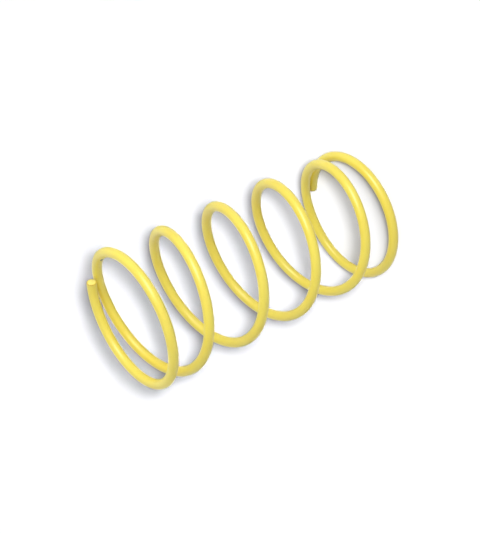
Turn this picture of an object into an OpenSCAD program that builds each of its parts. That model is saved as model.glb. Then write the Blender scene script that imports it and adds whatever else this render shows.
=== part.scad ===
// Torque spring of a belt drive's driven pulley: one length of round wire, cold wound into a left-hand
// compression coil. Both end turns are closed on their neighbours, left unground and cut square.
// The lower end is drawn in a little, and the upper one is flared out.
// The spring stands on its lower end turn, with its axis on Z and the lower cut tip towards +X.

/* [Wire] */
// Diameter of the round wire with its coating
wire_d = 4; // [2.5:0.1:6]
// Broken edge round each cut end
cut_chamfer = 0.3; // [0.1:0.05:0.6]

/* [Coil] */
// Outside diameter of the active turns
coil_outer_d = 56; // [44:0.5:80]
// Unloaded length from one end turn to the other
free_length = 114; // [85:1:160]
// Turns from tip to tip
total_turns = 6.01; // [4:0.01:7]
// Hand of the winding
wind = "left"; // [left, right]

/* [End turns] */
// Rise per turn along a closed end turn
end_pitch = 2.2; // [0.5:0.1:3.2]
// Angle of wire over which the pitch opens from closed to active
opening_angle = 90; // [20:5:120]
// How far the lower cut tip draws in towards the axis
lower_tip_inset = 1; // [0:0.1:1.6]
// How far the turn above the lower tip draws in
lower_turn_inset = 1.5; // [0:0.1:2]
// How far the upper cut tip flares out
upper_tip_flare = 0.6; // [0:0.1:1.6]
// How far the turn below the upper tip flares out
upper_turn_flare = 2.4; // [0:0.1:2.6]
// Gap left between a cut tip and the turn it closes on
tip_clearance = 0.1; // [0.05:0.05:0.5]

/* [Hidden] */
wire_sides = 16;
rings_per_turn = 56;

wire_r = wire_d / 2;
mean_r = coil_outer_d / 2 - wire_r;
turn_length = 2 * PI * mean_r;
middle = total_turns / 2;
wind_sign = wind == "left" ? -1 : 1;

// Turns over which a tip runs in or out to its own radius
tip_turns = 0.6;
// Turns from a tip to where the turn beside it is drawn in or flared the most
peak_turns = 1.08;
// Turns over which that turn runs back to the plain coil, to either side of there
peak_reach_turns = 0.38;

// Each end gives up one turn to close on its neighbour, and the turns between share the rest of the length.
active_turns = total_turns - 2;
// Slope of the active turns if the wire and its two closed turns took one wire diameter each
slope_angle = atan((free_length - 3 * wire_d) / active_turns / turn_length);
opening_turns = opening_angle / 360;
chamfer_turns = cut_chamfer / turn_length;
tangent_step = 1 / rings_per_turn / 20;

function clamp01(x) = max(0, min(1, x));
function smooth(x) = x * x * (3 - 2 * x);
// Area under smooth() from 0 to x
function smooth_area(x) = pow(x, 3) - pow(x, 4) / 2;
function unit(v) = v / norm(v);

// How far the wire stands out from the plain coil t turns after a tip
function shift(t, tip, turn) =
    tip * (1 - smooth(clamp01(t / tip_turns)))
    + turn * (1 - smooth(clamp01(abs(t - peak_turns) / peak_reach_turns)));
function lower_shift(t) = shift(t, -lower_tip_inset, -lower_turn_inset);
function upper_shift(t) = shift(t, upper_tip_flare, upper_turn_flare);

// Height between a tip and the turn over it, which stand so far apart across the axis. The slope of that turn
// brings its surface closer, so it is allowed for.
function lift_past(across) = sqrt(pow(wire_d + tip_clearance, 2) - pow(across, 2)) / cos(slope_angle);
lower_lift = lift_past(lower_shift(1) - lower_shift(0));
upper_lift = lift_past(upper_shift(1) - upper_shift(0));
active_pitch = (free_length - wire_d - lower_lift - upper_lift) / active_turns;

// Turns after a tip at which the pitch starts to open
function closed_turns(lift) = 1 - opening_turns / 2 - (lift - end_pitch) / (active_pitch - end_pitch);

// Turns' worth of full opening gained t turns after a tip: none while closed, then eased in, then one for one
function opened(t, lift) =
    let (past = t - closed_turns(lift))
    opening_turns * smooth_area(clamp01(past / opening_turns)) + max(0, past - opening_turns);

// Height gained t turns after a tip
function rise(t, lift) = end_pitch * t + (active_pitch - end_pitch) * opened(t, lift);

// Height of the wire's centre t turns above the lower tip. The upper half is measured down from the top.
function wire_height(t) =
    t <= middle ? wire_r + rise(t, lower_lift) : free_length - wire_r - rise(total_turns - t, upper_lift);

// Distance of the wire's centre from the axis
function wire_radius(t) = mean_r + lower_shift(t) + upper_shift(total_turns - t);

function wire_point(t) =
    let (angle = wind_sign * 360 * t, r = wire_radius(t))
    [r * cos(angle), r * sin(angle), wire_height(t)];

function wire_tangent(t) = unit(wire_point(t + tangent_step) - wire_point(t - tangent_step));

// One ring of the wire's section, square to the wire, whose first point lies furthest from the axis
function ring(t, r) =
    let (
        angle = wind_sign * 360 * t,
        along = wire_tangent(t),
        radial = [cos(angle), sin(angle), 0],
        outward = unit(radial - (radial * along) * along),
        across = cross(along, outward)
    )
    [for (i = [0 : wire_sides - 1])
        let (a = 360 * i / wire_sides)
        wire_point(t) + r * (cos(a) * outward + sin(a) * across)];

// Places of the rings that lie between the two chamfers, on whole divisions of a turn
body_stations = [
    for (i = [1 : floor(total_turns * rings_per_turn)])
        let (t = i / rings_per_turn)
        if (t > 2 * chamfer_turns && t < total_turns - 2 * chamfer_turns) t
];

// The wire is swept ring by ring from the lower cut end to the upper one.
module swept_wire() {
    rings = concat(
        [ring(0, wire_r - cut_chamfer), ring(chamfer_turns, wire_r)],
        [for (t = body_stations) ring(t, wire_r)],
        [ring(total_turns - chamfer_turns, wire_r), ring(total_turns, wire_r - cut_chamfer)]
    );
    last = len(rings) - 1;
    lower_end = [for (i = [0 : wire_sides - 1]) i];
    upper_end = [for (i = [wire_sides - 1 : -1 : 0]) last * wire_sides + i];
    sides = [
        for (k = [0 : last - 1], i = [0 : wire_sides - 1])
            let (
                next = (i + 1) % wire_sides,
                a = k * wire_sides + i,
                b = k * wire_sides + next,
                c = a + wire_sides,
                d = b + wire_sides
            )
            each [[a, c, b], [b, c, d]]
    ];
    polyhedron(
        points = [for (r = rings) each r],
        faces = concat([lower_end], sides, [upper_end]),
        convexity = 2 * ceil(total_turns)
    );
}

module spring() {
    color([0.93, 0.84, 0.32]) swept_wire();
}

spring();
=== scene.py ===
import math

import bmesh
import bpy
from mathutils import Matrix, Vector


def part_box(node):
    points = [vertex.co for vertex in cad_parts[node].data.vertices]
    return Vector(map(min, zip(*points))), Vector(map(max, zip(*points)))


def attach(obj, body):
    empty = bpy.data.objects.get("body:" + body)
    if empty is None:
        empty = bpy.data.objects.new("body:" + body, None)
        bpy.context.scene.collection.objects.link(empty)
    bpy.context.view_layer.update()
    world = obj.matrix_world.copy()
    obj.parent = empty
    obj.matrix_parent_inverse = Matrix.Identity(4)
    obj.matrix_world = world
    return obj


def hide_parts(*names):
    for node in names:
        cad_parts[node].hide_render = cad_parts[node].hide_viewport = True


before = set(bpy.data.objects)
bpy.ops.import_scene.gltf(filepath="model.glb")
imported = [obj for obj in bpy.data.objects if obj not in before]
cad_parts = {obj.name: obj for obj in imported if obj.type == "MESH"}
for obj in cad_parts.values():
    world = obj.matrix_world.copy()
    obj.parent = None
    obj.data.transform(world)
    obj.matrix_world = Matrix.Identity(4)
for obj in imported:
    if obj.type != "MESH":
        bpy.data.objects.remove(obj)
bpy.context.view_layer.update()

# Spring
# One length of round spring-steel wire, cold wound left-handed on a mandrel. Both end turns are closed on their
# neighbours, and the tips are sheared off square and left unground. The finished coil is blasted, hung on a hook
# and powder coated yellow all over, so the coating rounds the cut rims and is thin there.
spring_low, spring_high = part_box("spring")
free_length = spring_high.z - spring_low.z
coil_outer_d = 0.056
wire_d = 0.004
total_turns = 6.01
end_pitch = 0.0022
opening_turns = 0.25
tip_clearance = 0.0001

# The wire is left a little longer at its lower tip than in the construction, which starts at turn 0
lower_tip_turn = -0.008

# How far each tip and the turn beside it stand out from the plain coil, and over how many turns they do
lower_tip_shift = -0.001
lower_turn_shift = -0.0015
upper_tip_shift = 0.0006
upper_turn_shift = 0.0024
tip_turns = 0.6
peak_turns = 1.08
peak_reach_turns = 0.38

wire_r = wire_d / 2
mean_r = coil_outer_d / 2 - wire_r
active_turns = total_turns - 2
slope_angle = math.atan((free_length - 3 * wire_d) / active_turns / (2 * math.pi * mean_r))


def clamped(x):
    return max(0.0, min(1.0, x))


def smooth(x):
    """0 up to 0, 1 from 1 on, and eased between."""
    share = clamped(x)
    return share * share * (3 - 2 * share)


def shift(turn, tip, beside):
    """How far the wire stands out from the plain coil, so many turns from a tip."""
    off_peak = abs(turn - peak_turns) / peak_reach_turns
    return tip * (1 - smooth(turn / tip_turns)) + beside * (1 - smooth(off_peak))


def lower_shift(turn):
    return shift(turn, lower_tip_shift, lower_turn_shift)


def upper_shift(turn):
    return shift(turn, upper_tip_shift, upper_turn_shift)


def lift_past(across):
    """Height between a tip and the turn over it, which stand so far apart across the axis."""
    return math.sqrt((wire_d + tip_clearance) ** 2 - across ** 2) / math.cos(slope_angle)


lower_lift = lift_past(lower_shift(1) - lower_shift(0))
upper_lift = lift_past(upper_shift(1) - upper_shift(0))
active_pitch = (free_length - wire_d - lower_lift - upper_lift) / active_turns


def rise(turn, lift):
    """Height that the wire gains over so many turns from a tip: closed at first, then opening to the full pitch."""
    closed_turns = 1 - opening_turns / 2 - (lift - end_pitch) / (active_pitch - end_pitch)
    past = turn - closed_turns
    share = clamped(past / opening_turns)
    opened = opening_turns * (share ** 3 - share ** 4 / 2) + max(0.0, past - opening_turns)
    return end_pitch * turn + (active_pitch - end_pitch) * opened


def wire_centre(turn):
    """Centre of the wire, so many turns from the lower tip. The upper half is measured down from the top."""
    radius = mean_r + lower_shift(turn) + upper_shift(total_turns - turn)
    angle = -2 * math.pi * turn
    height = wire_r + rise(turn, lower_lift)
    if turn > total_turns / 2:
        height = free_length - wire_r - rise(total_turns - turn, upper_lift)
    return Vector((radius * math.cos(angle), radius * math.sin(angle), height))


# The path that the wire is wound along
path_steps = 1440
turn_step = (total_turns - lower_tip_turn) / path_steps
path_places = [wire_centre(lower_tip_turn + turn_step * i) for i in range(path_steps + 1)]
wire_length = sum((b - a).length for a, b in zip(path_places, path_places[1:]))
bpy.ops.object.select_all(action="DESELECT")
path_data = bpy.data.curves.new("winding_path", "CURVE")
path_data.dimensions = "3D"
path_data.twist_mode = "Z_UP"
path_line = path_data.splines.new("POLY")
path_line.points.add(path_steps)
for point, place in zip(path_line.points, path_places):
    point.co = (*place, 1)
winding_path = bpy.data.objects.new("winding_path", path_data)
bpy.context.scene.collection.objects.link(winding_path)

# The straight wire, along X from its lower tip, a hair thinner than in the construction so that it stays within it
wire_sides = 48
thinned_by = 0.00005
coated_r = wire_r - thinned_by
bpy.ops.mesh.primitive_cylinder_add(
    vertices=wire_sides,
    radius=coated_r,
    depth=wire_length,
    location=(wire_length / 2, 0, 0),
    rotation=(0, math.pi / 2, 0),
)
coated_wire = bpy.context.object
coated_wire.name = "coated_wire"
coated_wire.data.name = "coated_wire"
bpy.ops.object.transform_apply()


def pick(piece, part, wanted):
    """Selects, in edit mode, only those edges or faces of the piece that are wanted."""
    bpy.ops.mesh.select_mode(type=part)
    bpy.ops.mesh.select_all(action="DESELECT")
    shape = bmesh.from_edit_mesh(piece.data)
    for item in shape.edges if part == "EDGE" else shape.faces:
        item.select_set(wanted(item))
    shape.select_flush_mode()
    bmesh.update_edit_mesh(piece.data)


def runs_along_wire(edge):
    a, b = (v.co for v in edge.verts)
    return abs(b.x - a.x) > max(abs(b.y - a.y), abs(b.z - a.z))


def is_cut_face(face):
    nearly_square = 0.99
    return abs(face.normal.x) > nearly_square


def is_cut_rim(edge):
    return any(is_cut_face(face) for face in edge.link_faces)


# Rings along the wire, in two passes of cuts
ring_cuts = (11, 79)
bpy.ops.object.mode_set(mode="EDIT")
for cuts in ring_cuts:
    pick(coated_wire, "EDGE", runs_along_wire)
    bpy.ops.mesh.subdivide(number_cuts=cuts)

# The sheared tips: a rim that the coating rounds, and a face that is slightly dished towards its centre
rim_rounding = 0.00032
rim_segments = 4
dish_rings = 3
dish_step = 0.0005
dish_depth = 0.00004
pick(coated_wire, "EDGE", is_cut_rim)
bpy.ops.mesh.bevel(offset=rim_rounding, segments=rim_segments, affect="EDGES")
pick(coated_wire, "FACE", is_cut_face)
for ring in range(dish_rings):
    bpy.ops.mesh.inset(thickness=dish_step, depth=-dish_depth)
bpy.ops.mesh.poke()
bpy.ops.object.mode_set(mode="OBJECT")

# Each point keeps its place on the straight wire, for what runs along the wire in its finish
bpy.ops.geometry.attribute_add(name="place_on_wire", domain="POINT", data_type="FLOAT_VECTOR")
straight_places = [c for v in coated_wire.data.vertices for c in v.co]
coated_wire.data.attributes["place_on_wire"].data.foreach_set("vector", straight_places)

# The wire is wound along the path
sharp_from = math.radians(40)
winding = coated_wire.modifiers.new("winding", "CURVE")
winding.object = winding_path
winding.deform_axis = "POS_X"
bpy.ops.object.modifier_apply(modifier=winding.name)
bpy.data.objects.remove(winding_path)
bpy.data.curves.remove(path_data)
bpy.ops.object.shade_smooth_by_angle(angle=sharp_from)

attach(coated_wire, "root")
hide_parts("spring")


def add_node(tree, kind, inputs, **settings):
    """A node with its settings made. Each input is set, or linked where it is given another node's output."""
    made = tree.nodes.new(kind)
    for name, value in settings.items():
        setattr(made, name, value)
    for name, value in inputs.items():
        socket = next(s for s in made.inputs if s.identifier == name)
        if isinstance(value, bpy.types.NodeSocket):
            tree.links.new(value, socket)
        else:
            socket.default_value = value
    return made


def ease(tree, value, low, high):
    """0 where the value is at the low end, 1 where it is at the high end, eased between."""
    eased = add_node(
        tree,
        "ShaderNodeMapRange",
        {"Value": value, "From Min": low, "From Max": high},
        interpolation_type="SMOOTHSTEP",
    )
    return eased.outputs[0]


def math_node(tree, operation, first, second):
    worked_out = add_node(tree, "ShaderNodeMath", {"Value": first, "Value_001": second}, operation=operation)
    return worked_out.outputs[0]


def vector_node(tree, operation, first, second):
    return add_node(
        tree, "ShaderNodeVectorMath", {"Vector": first, "Vector_001": second}, operation=operation
    )


def noise(tree, place, scale, detail):
    """A cloudy pattern of values about 0.5."""
    clouds = add_node(tree, "ShaderNodeTexNoise", {"Vector": place, "Scale": scale, "Detail": detail})
    return clouds.outputs[0]


def tint(tree, share, under, over):
    """The colour underneath, covered by another one by a share."""
    mixed = add_node(
        tree,
        "ShaderNodeMix",
        {"Factor_Float": share, "A_Color": under, "B_Color": over},
        data_type="RGBA",
    )
    return mixed.outputs[2]


def near_place(tree, place, centre, reach):
    """1 at a point of the spring, easing to 0 at a distance from it."""
    gap = vector_node(tree, "DISTANCE", place, centre).outputs["Value"]
    return ease(tree, gap, reach, 0.0)


# Powder coating: a yellow skin with a soft gloss, a fine peel and faint lines from the drawn wire under it. The cut
# faces are painted paler, a painted highlight for the light they catch. The coating is thin and browner on their
# rims, scuffed where a tip touches the turn beside it, and has a small bare mark from the hook that the coil hung on,
# inside the turn below the upper tip.
coat_yellow = (0.89, 0.75, 0.092, 1)
coat_deep = (0.87, 0.705, 0.075, 1)
coat_thin = (0.60, 0.40, 0.05, 1)
coat_scuffed = (0.66, 0.55, 0.16, 1)
# The paler colour painted on the cut faces, a painted highlight
cut_face_highlight_colour = (0.90, 0.80, 0.18, 1)
bare_steel = (0.10, 0.075, 0.045, 1)

coating = bpy.data.materials.new("yellow_powder_coating")
coating.use_nodes = True
tree = coating.node_tree
tree.nodes.clear()
place = add_node(tree, "ShaderNodeTexCoord", {}).outputs["Object"]
on_wire = add_node(tree, "ShaderNodeAttribute", {}, attribute_name="place_on_wire").outputs["Vector"]

# The coating's tone, which drifts a little from place to place, and the drawn lines that show through it
tone_scale = 60.0
tone_range = (0.35, 0.65)
line_scales = (30.0, 1500.0, 1500.0)
line_range = (0.45, 0.75)
line_strength = 0.18
tone = noise(tree, place, tone_scale, detail=3.0)
colour = tint(tree, ease(tree, tone, *tone_range), coat_deep, coat_yellow)
stretched = add_node(tree, "ShaderNodeMapping", {"Vector": on_wire, "Scale": line_scales}).outputs[0]
drawn_lines = noise(tree, stretched, scale=1.0, detail=2.0)
line_share = math_node(tree, "MULTIPLY", ease(tree, drawn_lines, *line_range), line_strength)
colour = tint(tree, line_share, colour, coat_deep)

# The two cuts: paler across the face as a painted highlight, and thinly coated on the rim, by the depth under the
# wire's side
cut_reach = 0.0006
face_depths = (0.0003, 0.0008)
rim_depths = (0.0006, 0.0002)
blotch_scale = 2200.0
rim_wear_range = (0.3, 0.6)
blotch = noise(tree, place, blotch_scale, detail=2.0)
straight = add_node(tree, "ShaderNodeSeparateXYZ", {"Vector": on_wire})
from_lower_cut = straight.outputs["X"]
from_upper_cut = math_node(tree, "SUBTRACT", wire_length, from_lower_cut)
from_cut = math_node(tree, "MINIMUM", from_lower_cut, from_upper_cut)
at_cut = ease(tree, from_cut, cut_reach, 0.0)
across = add_node(tree, "ShaderNodeCombineXYZ", {"Y": straight.outputs["Y"], "Z": straight.outputs["Z"]})
off_axis = add_node(tree, "ShaderNodeVectorMath", {"Vector": across.outputs[0]}, operation="LENGTH")
depth = math_node(tree, "SUBTRACT", wire_r, off_axis.outputs["Value"])
# Painted highlight: the cut face is painted paler, for the light it catches
painted_cut_highlight = math_node(tree, "MULTIPLY", at_cut, ease(tree, depth, *face_depths))
colour = tint(tree, painted_cut_highlight, colour, cut_face_highlight_colour)
cut_rim = math_node(tree, "MULTIPLY", at_cut, ease(tree, depth, *rim_depths))
worn_rim = math_node(tree, "MULTIPLY", cut_rim, ease(tree, blotch, *rim_wear_range))
colour = tint(tree, worn_rim, colour, coat_thin)

# Scuffs between each tip and the turn beside it
scuff_reach = 0.0022
scuff_range = (0.35, 0.65)
lower_touch = (wire_centre(0.0) + wire_centre(1.0)) / 2
upper_touch = (wire_centre(total_turns) + wire_centre(total_turns - 1)) / 2
scuffs = math_node(
    tree,
    "MAXIMUM",
    near_place(tree, place, lower_touch, scuff_reach),
    near_place(tree, place, upper_touch, scuff_reach),
)
scuffed = math_node(tree, "MULTIPLY", scuffs, ease(tree, blotch, *scuff_range))
colour = tint(tree, scuffed, colour, coat_scuffed)

# Bare mark of the hook, drawn out along the inner side of the wire and ragged at its edge
hook_turns = (5.102, 5.109)
hook_reach = 0.0012
hook_upward = Vector((0, 0, 0.2))
ragged_from = 0.6
bare_range = (0.25, 0.6)
hook_mark = 0.0
for turn in hook_turns:
    hook_centre = wire_centre(turn)
    hook_inward = Vector((-hook_centre.x, -hook_centre.y, 0)).normalized()
    hook_place = hook_centre + coated_r * (hook_inward + hook_upward).normalized()
    hook_mark = math_node(tree, "MAXIMUM", hook_mark, near_place(tree, place, hook_place, hook_reach))
ragged_mark = math_node(tree, "MULTIPLY", hook_mark, math_node(tree, "ADD", blotch, ragged_from))
bare = ease(tree, ragged_mark, *bare_range)
colour = tint(tree, bare, colour, bare_steel)

# The peel, the drawn lines and the dip at the bare mark
bump_height = 0.0001
peel_scale = 900.0
peel_bump_strength = 0.1
line_bump_strength = 0.08
mark_bump_strength = 0.5
peel = noise(tree, place, peel_scale, detail=2.0)
peel_bump = add_node(
    tree,
    "ShaderNodeBump",
    {"Height": peel, "Strength": peel_bump_strength, "Distance": bump_height},
)
line_bump = add_node(
    tree,
    "ShaderNodeBump",
    {
        "Height": drawn_lines,
        "Strength": line_bump_strength,
        "Distance": bump_height,
        "Normal": peel_bump.outputs[0],
    },
)
mark_bump = add_node(
    tree,
    "ShaderNodeBump",
    {
        "Height": bare,
        "Strength": mark_bump_strength,
        "Distance": bump_height,
        "Normal": line_bump.outputs[0],
    },
    invert=True,
)

# The soft gloss, which varies with the peel and is lost where the coating is scuffed or worn
glossiest = 0.28
dullest = 0.35
peel_low = 0.3
peel_high = 0.7
scuff_dullness = 0.6
coat_shine = 0.75
gloss = add_node(
    tree,
    "ShaderNodeMapRange",
    {"Value": peel, "From Min": peel_low, "From Max": peel_high, "To Min": glossiest, "To Max": dullest},
).outputs[0]
dull = math_node(tree, "MAXIMUM", math_node(tree, "MULTIPLY", scuffed, scuff_dullness), worn_rim)
skin = add_node(
    tree,
    "ShaderNodeBsdfPrincipled",
    {
        "Base Color": colour,
        "Roughness": math_node(tree, "MAXIMUM", gloss, dull),
        "Normal": mark_bump.outputs[0],
        "Specular IOR Level": coat_shine,
    },
)
add_node(tree, "ShaderNodeOutputMaterial", {"Surface": skin.outputs[0]})
coated_wire.data.materials.clear()
coated_wire.data.materials.append(coating)

# Floor
# A wide sheet of matt pale board that the spring stands on. The lamps bring it up to white outside the spring's soft
# shadow, and it throws little light back at the spring.
floor_r = 3.0
floor_sides = 96
floor_seen = (0.335, 0.335, 0.345, 1)
floor_bounce = (0.17, 0.17, 0.17, 1)
bpy.ops.object.select_all(action="DESELECT")
bpy.ops.mesh.primitive_circle_add(vertices=floor_sides, radius=floor_r, fill_type="NGON")
floor = bpy.context.object
floor.name = "floor"

board = bpy.data.materials.new("pale_board")
board.use_nodes = True
tree = board.node_tree
tree.nodes.clear()


def seen_directly(tree):
    """1 where the ray comes from the camera, a reflection or a see-through, and 0 where it only carries light."""
    ray = add_node(tree, "ShaderNodeLightPath", {}).outputs
    seen_or_mirrored = math_node(tree, "MAXIMUM", ray["Is Camera Ray"], ray["Is Glossy Ray"])
    return math_node(tree, "MAXIMUM", seen_or_mirrored, ray["Is Transmission Ray"])


def seen_apart(tree, lighting, seen):
    """One shader for the light that a surface gives off, and another for how it is seen."""
    mixed = add_node(
        tree,
        "ShaderNodeMixShader",
        {"Fac": seen_directly(tree), "Shader": lighting.outputs[0], "Shader_001": seen.outputs[0]},
    )
    return mixed.outputs[0]


dull_board = add_node(tree, "ShaderNodeBsdfDiffuse", {"Color": floor_bounce})
seen_board = add_node(tree, "ShaderNodeBsdfDiffuse", {"Color": floor_seen})
add_node(tree, "ShaderNodeOutputMaterial", {"Surface": seen_apart(tree, dull_board, seen_board)})
floor.data.materials.append(board)

# Camera
# It looks down at the spring from the side of the upper end turn and is rolled, so that the spring's axis rises to
# the right across the picture.
view_azimuth = math.radians(-45.148)
view_elevation = math.radians(28.498)
view_roll = math.radians(-115.906)
view_distance = 0.47967
spring_right_of_middle = 0.00279
spring_above_middle = 0.00085
focal_length_mm = 82.6
spring_centre = Vector((0, 0, free_length / 2))
camera_turn = (
    Matrix.Rotation(view_azimuth, 3, "Z")
    @ Matrix.Rotation(math.pi / 2 - view_elevation, 3, "X")
    @ Matrix.Rotation(view_roll, 3, "Z")
)
camera_place = spring_centre + camera_turn @ Vector(
    (-spring_right_of_middle, -spring_above_middle, view_distance)
)
bpy.ops.object.camera_add(location=camera_place, rotation=camera_turn.to_euler())
camera = bpy.context.object
camera.data.lens = focal_length_mm
bpy.context.scene.camera = camera
bpy.context.scene.view_settings.view_transform = "Standard"


# Lamps
# A soft box up and to the left of the camera lights the spring. A row of small lamps to the right of the camera lights
# the floor alone, and sets the spring's shadow just to the lower left of it. Each is masked to its own stretch of the
# floor and fades into the next, and the further out it stands, the closer to the spring's foot it shines.
def lights_only(lamp, piece):
    """The lamp reaches this piece and nothing else."""
    reached = bpy.data.collections.new(lamp.name + "_reaches")
    reached.objects.link(piece)
    lamp.light_linking.receiver_collection = reached


key_distance = 0.7
key_size = 0.4
key_level = 0.60
key_from = camera_turn @ Vector((-0.27, 0.466, 0.843))
bpy.ops.object.light_add(
    type="AREA",
    location=spring_centre + key_distance * key_from,
    rotation=key_from.to_track_quat("Z", "Y").to_euler(),
)
key_lamp = bpy.context.object
key_lamp.name = "key_lamp"
key_lamp.data.shape = "DISK"
key_lamp.data.size = key_size
key_lamp.data.energy = key_level * math.pi ** 2 * key_distance ** 2
lights_only(key_lamp, coated_wire)

# How far each floor lamp stands aside, and how far behind the spring's axis the middle of its stretch lies
floor_lamp_asides = (0.084, 0.038, 0.019, 0.0115, 0.0074)
stretch_middles = (-0.025, 0.018, 0.062, 0.115, 0.200)
floor_lamp_level = 2.56
floor_lamp_angle = math.radians(32)
floor_lamp_softness = 1.3
to_side = Vector((math.cos(floor_lamp_angle), math.sin(floor_lamp_angle), 0))
view_direction = camera_turn @ Vector((0, 0, -1))
backward = Vector((view_direction.x, view_direction.y, 0)).normalized()

for i, aside in enumerate(floor_lamp_asides):
    bpy.ops.object.light_add(type="POINT", location=camera_place + camera_turn @ (aside * to_side))
    floor_lamp = bpy.context.object
    floor_lamp.name = "floor_lamp_%d" % (i + 1)
    floor_lamp.data.shadow_soft_size = aside * floor_lamp_softness
    floor_lamp.data.energy = 1.0
    floor_lamp.data.use_nodes = True
    tree = floor_lamp.data.node_tree

    # How far behind the spring's axis the light lands
    shining = add_node(tree, "ShaderNodeTexCoord", {}).outputs["Normal"]
    downward = add_node(tree, "ShaderNodeSeparateXYZ", {"Vector": shining}).outputs["Z"]
    steepness = math_node(tree, "ABSOLUTE", downward, 0.0)
    start = add_node(tree, "ShaderNodeNewGeometry", {}).outputs["Position"]
    start_height = add_node(tree, "ShaderNodeSeparateXYZ", {"Vector": start}).outputs["Z"]
    reach = math_node(tree, "DIVIDE", start_height, steepness)
    run = add_node(tree, "ShaderNodeVectorMath", {"Vector": shining, "Scale": reach}, operation="SCALE")
    landing = vector_node(tree, "ADD", run.outputs[0], start).outputs[0]
    behind = vector_node(tree, "DOT_PRODUCT", landing, backward).outputs["Value"]

    # The lamp's light on its own stretch, as strong near and far and at every slant. At level 1, a matt floor shows
    # its own colour.
    strength = floor_lamp_level * 4 * math.pi ** 2
    for neighbour in (i - 1, i + 1):
        if 0 <= neighbour < len(stretch_middles):
            share = ease(tree, behind, stretch_middles[neighbour], stretch_middles[i])
            strength = math_node(tree, "MULTIPLY", strength, share)
    strength = math_node(tree, "DIVIDE", strength, steepness)
    even = add_node(tree, "ShaderNodeLightFalloff", {"Strength": strength})
    tree.links.new(even.outputs["Constant"], tree.nodes["Emission"].inputs["Strength"])
    lights_only(floor_lamp, floor)

# Surround
# A plain white room, which lights the spring evenly from all sides.
room_level = 0.65
room_white = (1, 1, 1, 1)
room = bpy.data.worlds.new("white_room")
room.use_nodes = True
bpy.context.scene.world = room
tree = room.node_tree
tree.nodes.clear()
room_light = add_node(tree, "ShaderNodeBackground", {"Color": room_white, "Strength": room_level})
room_seen = add_node(tree, "ShaderNodeBackground", {"Color": room_white, "Strength": 1.0})
add_node(tree, "ShaderNodeOutputWorld", {"Surface": seen_apart(tree, room_light, room_seen)})
